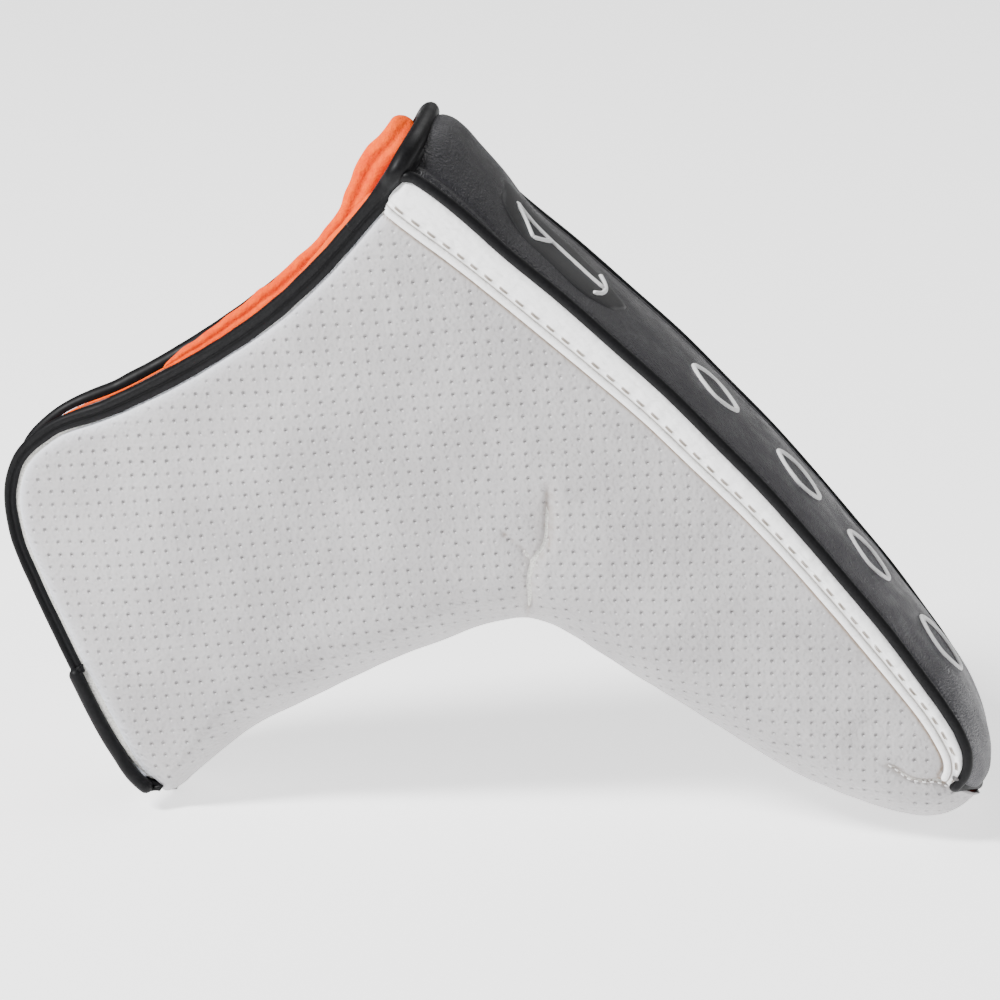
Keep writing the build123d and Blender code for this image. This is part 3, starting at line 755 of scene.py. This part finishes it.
def trims(side, word):
    s, f = grid_of(np.linspace(TRIM_START, TRIM_END, 560), np.linspace(-0.02, 1.04, 64))
    wide = np.linalg.norm(rail(s)[..., 2:4] - rail(s)[..., 0:2], axis=-1)
    mm = np.maximum(f, 0) * wide
    below = wide - mm
    profile = 1.25 * (1 - np.exp(-((mm / 0.8) ** 1.4)))
    profile = profile * (1 - np.exp(-((np.maximum(below, 0) / 0.75) ** 1.3)))
    profile = profile + 0.25 * np.sin(np.pi * np.clip(f, 0, 1)) - 0.25
    beat = 0.5 + 0.5 * np.cos(2 * math.pi * s / STITCH_PITCH)
    profile = profile - (0.28 + 0.3 * beat) * hump(below, 1.35, 0.45)
    pucker = hump(below, 2.4, 1.0) * 0.10 * np.cos(2 * math.pi * (s / STITCH_PITCH + 0.5))
    profile = profile + pucker + 0.05 * waves(s, mm * 4, 6, 31) + 0.035 * waves(s, mm, 2.2, 32)
    ends = np.minimum(smoothstep(0, 1.6, s - TRIM_START), smoothstep(0, 1.6, TRIM_END - s))
    lift = -0.5 + (profile + 0.5) * (0.2 + 0.8 * ends)
    outer = strip_points(s, f, side, lift)
    under = strip_points(s, f, side, np.minimum(lift - 0.4, -0.45))
    # Painted shade: dark dashes at the topstitch holes, and a dark line in the groove between the trim and
    # the welt.
    dash = smoothstep(0.3, 0.6, 0.5 - 0.5 * np.cos(2 * math.pi * s / STITCH_PITCH))
    stain = 0.95 * hump(below, 1.62, 0.24) * dash + 0.8 * hump(below, 0.62, 0.2)
    stain = np.tile(np.clip(stain, 0, 1).ravel(), 2)
    trim = piece(f"{word}_trim", slab(outer, under), SMOOTH, "white_smooth", stain=stain)
    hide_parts(f"{word}_trim_strip")
    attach(trim, "root")

    s = np.linspace(-0.2, SEAM_LENGTH + 0.1, 420)
    wide = np.linalg.norm(rail(s)[:, 2:4] - rail(s)[:, 0:2], axis=-1)
    path = strip_points(s, 1 + 0.3 / wide, side, 0.35 + 0.05 * waves(s, s, 11, 33))
    verts, faces = tube(path, 0.72, count=14)
    welt = piece(f"{word}_welt", (verts, faces), SMOOTH, "white_smooth", stain=np.zeros(len(verts)))
    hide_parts(f"{word}_trim_welt")
    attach(welt, "root")

    stitches = []
    for at in np.arange(STITCH_PITCH * 0.5, SEAM_LENGTH - 3, STITCH_PITCH):
        s = np.linspace(at - 0.95, at + 0.95, 9)
        wide = np.linalg.norm(rail(s)[:, 2:4] - rail(s)[:, 0:2], axis=-1)
        sag = 0.28 * ((s - at) / 0.95) ** 2
        path = strip_points(s, 1 - 1.35 / wide, side, 0.72 - sag)
        stitches.append(tube(path, 0.2, count=8))
    thread = piece(f"{word}_topstitch", joined(stitches), SHADED_THREAD, "white_thread")
    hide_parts(f"{word}_trim_stitching")
    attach(thread, "root")

    r = rail(np.linspace(0, SEAM_LENGTH, 500))
    out = np.gradient(r[:, :2], axis=0)
    out = np.stack([-out[:, 1], out[:, 0]], axis=1)
    out /= np.linalg.norm(out, axis=1, keepdims=True)
    xz = r[:, :2] + (0.45 if side < 0 else -0.35) * out
    y = side * (height(r[:, 0], r[:, 1]) + 0.15)
    path = np.stack([xz[:, 0], y, xz[:, 1]], axis=1)
    curl = np.array([[-16.9, 0, 134.0], [-16.4, 0, 134.6]])
    curl[:, 1] = side * np.array([20.7, 21.4])
    toe = spline(TOE_END, 1.5)[1:]
    half = side * np.maximum(height(toe[:, 0], toe[:, 1]) - 0.4, 0)
    turn = np.linspace(0, 1, len(toe))
    toe = np.stack([toe[:, 0] - 0.5 * turn, half * (1 - 0.35 * turn), toe[:, 1] + 0.2 + 0.9 * turn], axis=1)
    path = np.vstack([curl, path[3:-4:3], toe, [[96.6, 0.0, 8.8]]])
    path = spline(path, 0.4, slice(0, 3))
    piping = piece(f"{word}_piping", tube(path, 1.1, count=18), GLOSS, "black_gloss")
    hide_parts(f"{word}_band_piping")
    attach(piping, "root")
    cord = piece(f"{word}_cord", tube(path[4:-40], 0.5, count=8), CORD, "cord")
    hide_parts(f"{word}_piping_cord")
    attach(cord, "root")

    length = arc(dart)[-1]
    parts = []
    for at in np.arange(0.8, length - 0.4, 1.55):
        s = np.linspace(at - 0.42, at + 0.42, 6)
        xz = np.stack([np.interp(s, arc(dart), dart[:, k]) for k in (0, 1)], axis=1)
        y = side * (height(xz[:, 0], xz[:, 1]) - 0.75)
        parts.append(tube(np.stack([xz[:, 0], y, xz[:, 1]], axis=1), 0.17, count=8))
    thread = piece(f"{word}_dart_thread", joined(parts), WHITE_THREAD, "white_thread")
    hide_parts(f"{word}_dart_stitching")
    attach(thread, "root")


# ---------------------------------------------------------------- the band


def band_point(s, q, lift=0.0):
    """A point on the band: s along the seam, q from -1 at the near edge to 1 at the far one."""
    s, q = np.broadcast_arrays(np.asarray(s, float), np.asarray(q, float))
    r = rail(s)
    rise = 1 - np.abs(q) ** 2.3
    up = r[..., 4:6] - r[..., 0:2]
    length = np.linalg.norm(up, axis=-1, keepdims=True)
    xz = r[..., 0:2] + up * rise[..., None]
    half = height(r[..., 0], r[..., 1]) - 0.5
    n = up / length
    bow = np.clip(np.abs(q), 0, 1) ** 6
    xz = xz + n * (np.asarray(lift) * (1 - 0.6 * bow))[..., None]
    y = half * q + np.sign(q) * np.asarray(lift) * bow
    return np.stack([xz[..., 0], y, xz[..., 1]], axis=-1)


def band_grid(rows, cols, low, high, inset=1.0):
    across = np.sin(np.linspace(-1, 1, cols) * math.pi / 2 * 0.999) * inset
    return grid_of(np.linspace(low, high, rows), across)


BAND_START, BAND_END, BAND_HALF = -1.4, SEAM_LENGTH + 1.4, 21.5


def band():
    s, q = band_grid(420, 96, BAND_START, BAND_END)
    mm = (1 - np.abs(q)) * BAND_HALF
    ridge_near = 0.38 * hump(mm, 1.7, 0.55) - 0.3 * hump(mm, 2.9, 0.6)
    tuck = -1.2 * hump(mm, 0, 0.55)
    slack = 0.10 * waves(s, q * 30, 22, 41)
    slack = slack + 0.07 * waves(s, q * 16, 7, 42) * smoothstep(SEAM_LENGTH - 45, SEAM_LENGTH, s)
    lip = -1.3 * hump(s, BAND_START, 1.1) + 0.35 * hump(s, BAND_START + 3.2, 1.8)
    end = -2.5 * hump(s, BAND_END, 1.5)
    outer = band_point(s, q, ridge_near + tuck + slack + lip + end)
    under = band_point(s, q * 0.985, -1.5 + end * 0.4)
    # Painted light: the band is painted lighter towards the toe.
    worn = smoothstep(8.0, 150.0, np.tile(s.ravel(), 2))
    obj = piece("band", slab(outer, under), BLACK, "black_leather", worn=worn)
    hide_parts("spine_band")
    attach(obj, "root")
    s, q = band_grid(120, 40, 1.0, SEAM_LENGTH - 8, 0.9)
    pad = piece("band_padding", slab(band_point(s, q, -1.7), band_point(s, q, -2.9)), FOAM, "foam")
    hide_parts("spine_foam")
    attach(pad, "root")
    s, q = band_grid(200, 60, 0.4, SEAM_LENGTH - 16, 0.86)
    fluff = 0.15 * waves(s, q * 22, 6, 43)
    made = slab(band_point(s, q, -LINING_IN), band_point(s, q, -LINING_OUT + fluff))
    inside = piece("band_lining", made, FLEECE, "orange_fleece")
    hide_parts("spine_lining")
    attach(inside, "root")
    return inside


def on_band(points, lift):
    """A drawn line (mm along the band from the heel, mm across) laid on the band."""
    p = np.asarray(points, float)
    return band_point(p[:, 0], p[:, 1] / BAND_HALF, lift)


SATIN_THICKNESS, SATIN_TEETH = 0.42, 0.55


def satin(line, width, lift):
    """A raised satin stitch along a drawn line."""
    line = spline(line, 0.5) if len(line) > 2 else np.linspace(line[0], line[1], 40)
    path = on_band(line, lift)
    up = on_band(line, lift + 1.0) - path
    up /= np.linalg.norm(up, axis=1, keepdims=True)
    a, b = frames(path, up)
    s = arc(path)
    r = width / 2
    scale = rounded(np.minimum(s, s[-1] - s), r, 0.05)
    teeth = 1 + 0.05 * np.cos(s * 2 * math.pi / SATIN_TEETH)
    section = circle(1.0, 14)[:, ::-1] * np.array([SATIN_THICKNESS, r])
    return sweep(path, a, b, section, scale * teeth)


def signed_power(v, power):
    return np.sign(v) * np.abs(v) ** power


def lozenge(cx, cy, rx, ry):
    """A closed outline between an ellipse and a diamond."""
    a = np.linspace(0, 2 * math.pi, 25)
    x, y = cx + rx * signed_power(np.cos(a), 1.25), cy + ry * signed_power(np.sin(a), 1.25)
    return np.stack([x, y], axis=1)


EMBLEM = (33.0, -3.0)  # along, across
MARKS = [74.5, 98.5, 120.0, 142.5]  # along


def embroidery():
    cx, cy = EMBLEM
    rows, cols = 14, 72
    a, r = grid_of(np.linspace(0, 2 * math.pi, cols, endpoint=False), np.linspace(0.02, 1, rows))
    wave = 1 + 0.03 * np.sin(5 * a + 0.6) + 0.02 * np.sin(9 * a)
    x = cx + 17.0 * r * wave * signed_power(np.cos(a), 0.85)
    y = cy + 9.8 * r * wave * signed_power(np.sin(a), 0.85)
    crown = 0.34 * (1 - r**10) + 0.06
    topside = band_point(x, y / BAND_HALF, crown)
    underside = band_point(x, y / BAND_HALF, -0.4 + 0 * r)
    t3, u3 = topside.transpose(1, 0, 2), underside.transpose(1, 0, 2)
    verts = np.vstack([t3.reshape(-1, 3), u3.reshape(-1, 3), t3[0].mean(0), u3[0].mean(0)])
    k = rows * cols
    j = np.arange(cols)
    rim, after = (rows - 1) * cols, (j + 1) % cols
    quads = np.vstack([grid_faces(rows, cols, wrap=True), grid_faces(rows, cols, k, flip=True, wrap=True),
                       np.stack([rim + after, rim + j, k + rim + j, k + rim + after][::-1], axis=1)])
    top_fan, low_fan = [0 * j + 2 * k, after, j], [0 * j + 2 * k + 1, k + j, k + after]
    tris = np.vstack([np.stack(top_fan, axis=1), np.stack(low_fan, axis=1)])
    backing = piece("emblem_backing_satin", outward(verts, [quads, tris]), BLACK_THREAD, "black_thread")
    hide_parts("emblem_backing")
    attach(backing, "root")
    strokes = [
        ([(cx - 12.5, cy), (cx + 11.5, cy)], 0.95),
        ([(cx - 12.0, cy - 0.2), (cx - 9.0, cy - 3.0), (cx - 6.2, cy - 6.6)], 0.9),
        ([(cx - 6.2, cy - 6.6), (cx - 4.0, cy - 3.2), (cx - 2.4, cy - 0.2)], 0.9),
        ([(cx + 9.8, cy - 6.6), (cx + 11.4, cy - 3.4), (cx + 11.9, cy), (cx + 11.4, cy + 3.4),
          (cx + 9.8, cy + 6.6)], 0.95),
    ]
    made = joined([satin(p, w, 0.55) for p, w in strokes])
    flag = piece("emblem_flag_stitching", made, WHITE_THREAD, "white_thread")
    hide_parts("emblem_flag")
    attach(flag, "root")
    shapes = [satin(lozenge(along, 0.0, 6.2, 5.0), 1.05, 0.2) for along in MARKS]
    marks = piece("band_marks_stitching", joined(shapes), WHITE_THREAD, "white_thread")
    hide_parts("spine_marks")
    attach(marks, "root")


# ---------------------------------------------------------------- bindings, gusset and tapes

# across the mouth's edge: first number away from the edge onto the panel, second out from the leather's face
BINDING = [
    (2.05, -0.5), (2.0, 0.05), (1.75, 0.5), (1.3, 0.72), (0.8, 0.66), (0.5, 0.36), (0.25, 0.5), (0.0, 0.9),
    (-0.5, 1.2), (-1.1, 1.1), (-1.6, 0.6), (-1.8, -0.15), (-1.65, -0.95), (-1.15, -1.6), (-0.4, -1.95),
    (0.4, -1.9), (1.2, -1.8), (1.1, -1.3), (0.6, -1.0), (0.6, -0.6),
]
# the roll across the heel end, first number towards the toe, and how much thicker it is
HEEL_ROLL = [
    (2.3, -0.9), (2.25, -0.4), (1.9, 0.05), (1.5, 0.1), (1.25, -0.05), (1.1, 0.35), (0.75, 0.95),
    (0.2, 1.4), (-0.5, 1.6), (-1.2, 1.4), (-1.8, 0.8), (-2.05, 0.0), (-1.9, -0.9), (-1.4, -1.7),
    (-0.6, -2.1), (0.4, -2.1), (1.3, -1.9), (1.7, -1.5),
]
HEEL_ROLL_SCALE = 1.22


def even_loop(section, count=40):
    """A closed section's points, spaced evenly from its first point."""
    p = np.array(list(section) + [section[0]], float)
    s = arc(p)
    at = np.linspace(0, s[-1], count + 1)[:-1]
    return np.stack([np.interp(at, s, p[:, k]) for k in (0, 1)], axis=1)


def binding_path(side, s):
    """Points on the mouth's edge on one side, at distances s from the neck's low end."""
    at = arc(mouth)
    x, z = np.interp(s, at, mouth[:, 0]), np.interp(s, at, mouth[:, 1])
    y = side * (height(x, z) - 0.3)
    return np.stack([x, y, z], axis=1)


def inward_at(side, path):
    """Unit vectors at each point of the mouth's edge: onto the panel, and out from the leather's face."""
    t = np.gradient(path, axis=0)
    t /= np.linalg.norm(t, axis=1, keepdims=True)
    out = np.broadcast_to(np.array([0.0, side, 0.0]), path.shape)
    a = np.cross(out, t) * side
    a = a / np.linalg.norm(a, axis=1, keepdims=True)
    n = np.cross(a, t)
    n = n * np.sign((n * out).sum(1, keepdims=True))
    return a, n / np.linalg.norm(n, axis=1, keepdims=True)


def bindings():
    at = arc(mouth)
    gusset_top, corner = along_line(-84.9, 30.4, mouth), along_line(-90.4, 77.5, mouth)
    heel_start = along_line(-25.6, 124.6, mouth)
    for side, word in ((-1, "front"), (1, "back")):
        s = np.linspace(gusset_top - 2, heel_start + 1.5, 380)
        path = binding_path(side, s)
        a, n = inward_at(side, path)
        scale = 0.66 + 0.34 * smoothstep(corner - 14, corner + 22, s)
        scale = scale * (1 + 0.03 * waves(s, s * 0, 9, 51))
        made = sweep(path, a, n, BINDING, scale)
        obj = piece(f"{word}_binding", made, GLOSS, "black_gloss")
        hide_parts(f"{word}_flap_binding")
        bend_with_flap(obj)
    near = binding_path(-1, np.linspace(heel_start - 1.5, at[-1] - 2.0, 16))
    half = np.vstack([near, ARCH])
    other = half[::-1][1:] * np.array([1, -1, 1])
    path = spline(np.vstack([half, other]), 0.6, slice(0, 3))
    t = np.gradient(path, axis=0)
    t /= np.linalg.norm(t, axis=1, keepdims=True)
    away = np.broadcast_to(np.array([0.80, 0.0, -0.60]), path.shape)
    a = away - (away * t).sum(1, keepdims=True) * t
    a /= np.linalg.norm(a, axis=1, keepdims=True)
    n = np.cross(a, t)
    outwards = path * np.array([0.0, 1.0, 0.0]) + np.array([2.0, 0.0, 6.0])
    n = n * np.where((n * outwards).sum(1, keepdims=True) > 0, 1, -1)
    s = arc(path)
    plain, thick = even_loop(BINDING), even_loop(HEEL_ROLL) * HEEL_ROLL_SCALE
    mix = smoothstep(2, 18, s) * smoothstep(2, 18, s[-1] - s)
    made = sweep(path, a, n, plain[None] * (1 - mix[:, None, None]) + thick[None] * mix[:, None, None])
    obj = piece("heel_roll_binding", made, GLOSS, "black_gloss")
    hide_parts("heel_binding")
    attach(obj, "root")


GUSSET = [
    (-84.9, 30.0), (-84.0, 28.0), (-80.9, 21.2), (-77.0, 13.8), (-73.0, 8.0), (-69.9, 5.2), (-68.2, 4.0),
]


def gusset():
    """The black strip that closes the neck below the slit, with a roll along each side."""
    line = spline(GUSSET, 0.5)
    s = arc(line)
    half = height(line[:, 0], line[:, 1])
    half = np.maximum(half, half[s < s[-1] - 9][-1])
    q = np.linspace(-1, 1, 41)
    mm = (1 - np.abs(q))[None] * half[:, None]
    lip = 1.5 * hump(mm, 0.6, 1.3) - 2.2 * smoothstep(1.5, 7, mm)
    ends = smoothstep(0, 2.5, s) * smoothstep(0, 2.5, s[-1] - s)
    t = np.gradient(line, axis=0)
    t /= np.linalg.norm(t, axis=1, keepdims=True)
    out = np.stack([t[:, 1], -t[:, 0]], axis=1)
    out = out * np.sign(out[:, :1] * -1)
    lift = lip * (0.3 + 0.7 * ends[:, None]) - 0.9 * (1 - ends[:, None])
    outer = np.stack([line[:, None, 0] + out[:, None, 0] * lift, q[None] * (half[:, None] + 0.4) + 0 * lift,
                      line[:, None, 1] + out[:, None, 1] * lift], axis=2)
    under = outer - np.stack([out[:, None, 0] + 0 * lift, 0 * lift, out[:, None, 1] + 0 * lift], axis=2) * 1.3
    parts = [slab(outer, under)]
    wide = half - 0.2 + 0.9 * smoothstep(s[-1] - 12, s[-1] - 5, s)
    for side in (-1, 1):
        path = np.stack([line[:, 0] + out[:, 0] * 0.2, side * wide, line[:, 1] + out[:, 1] * 0.2], axis=1)
        parts.append(tube(path[:-3], 1.45, count=16))
    obj = piece("neck_gusset_leather", joined(parts), GLOSS, "black_leather")
    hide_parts("neck_gusset")
    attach(obj, "root")


def tapes():
    for side, word, node, low, high in (
        (-1, "front", "loop_tape", -84.0, -52.0), (1, "back", "hook_tape", -93.0, -58.0),
    ):
        first, last = along_line(low, 80.0, mouth), along_line(high, 98.5, mouth)
        s, d = grid_of(np.linspace(first, last, 150), np.linspace(0, 1, 24))
        jag = 0.7 * waves(s, s * 0, 4, 61) + 0.5 * waves(s, s * 0, 1.6, 62)
        depth = 0.7 + d * (9.6 + jag * (side > 0))
        at = arc(mouth)
        x, z = np.interp(s, at, mouth[:, 0]), np.interp(s, at, mouth[:, 1])
        t = np.stack([np.gradient(x, axis=0), np.gradient(z, axis=0)], axis=-1)
        t /= np.linalg.norm(t, axis=-1, keepdims=True)
        x, z = x + t[..., 1] * depth, z - t[..., 0] * depth
        press = thinning(x, z)
        h = height(x, z)
        fuzz = 0.12 * waves(x, z, 1.5, 63)
        below, above = h - LINING_OUT * press - 0.25, h - LINING_OUT * press - 1.25 - fuzz
        made = slab(np.stack([x, side * below, z], axis=2), np.stack([x, side * above, z], axis=2))
        obj = piece(f"{word}_closure_tape", made, TAPE, "closure_tape")
        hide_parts(node)
        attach(obj, f"{word}_flap")


leather_grid, foam_grid = leather_fields(), layer_fields(150, 64, 0.02, 0.94)
lining_grid = layer_fields(240, 100, 0.02, 0.92)
for side, word in ((-1, "front"), (1, "back")):
    side_pieces(side, word, leather_grid)
    padding(side, word, foam_grid)
    lining(side, word, lining_grid)
    trims(side, word)
band()
embroidery()
bindings()
gusset()
tapes()


# ---------------------------------------------------------------- studio


def emitter(name, place, aim, size, power):
    data = bpy.data.lights.new(name, "AREA")
    data.shape, data.size, data.size_y, data.energy = "RECTANGLE", size[0], size[1], power
    obj = bpy.data.objects.new(name, data)
    obj.location = place
    way = np.array(place) - np.array(aim)
    obj.rotation_euler = Vector(way).to_track_quat("Z", "Y").to_euler()
    bpy.context.scene.collection.objects.link(obj)
    return obj


def plane(name, corners, colour, glow):
    mesh = bpy.data.meshes.new(name)
    mesh.from_pydata(corners, [], [(0, 1, 2, 3)])
    obj = bpy.data.objects.new(name, mesh)
    bpy.context.scene.collection.objects.link(obj)
    n = Nodes(name)
    n.put(n.shader.inputs["Emission Color"], colour)
    n.finish(colour, 0.9, None, Emission_Strength=glow)
    mesh.materials.append(n.mat)
    return obj


plane("floor", [(-3, -3, 0), (3, -3, 0), (3, 3, 0), (-3, 3, 0)], rgb(0.9, 0.9, 0.9), 1.5)
world = bpy.data.worlds.new("studio")
bpy.context.scene.world = world
world.use_nodes = True
world.node_tree.nodes["Background"].inputs[0].default_value = rgb(1, 1, 1)
world.node_tree.nodes["Background"].inputs[1].default_value = 0.18
emitter("key", (-0.75, -0.55, 1.0), (0, 0, 0.06), (0.3, 0.3), 42)
emitter("fill", (0.9, -0.7, 0.7), (0, 0, 0.06), (0.5, 0.5), 3)
emitter("rim", (0.3, 0.9, 0.9), (0, 0, 0.08), (1.0, 0.6), 5)

azimuth, elevation, reach = math.radians(5.5), math.radians(17), 0.9
camera = bpy.data.objects.new("camera", bpy.data.cameras.new("camera"))
back = np.array([math.sin(azimuth), -math.cos(azimuth), math.tan(elevation)]) * math.cos(elevation)
camera.location = np.array([0, 0, 0.064]) + reach * back
camera.rotation_euler = Vector(back).to_track_quat("Z", "Y").to_euler()
camera.data.lens, camera.data.sensor_width = 162.0, 36.0
bpy.context.scene.collection.objects.link(camera)
bpy.context.scene.camera = camera
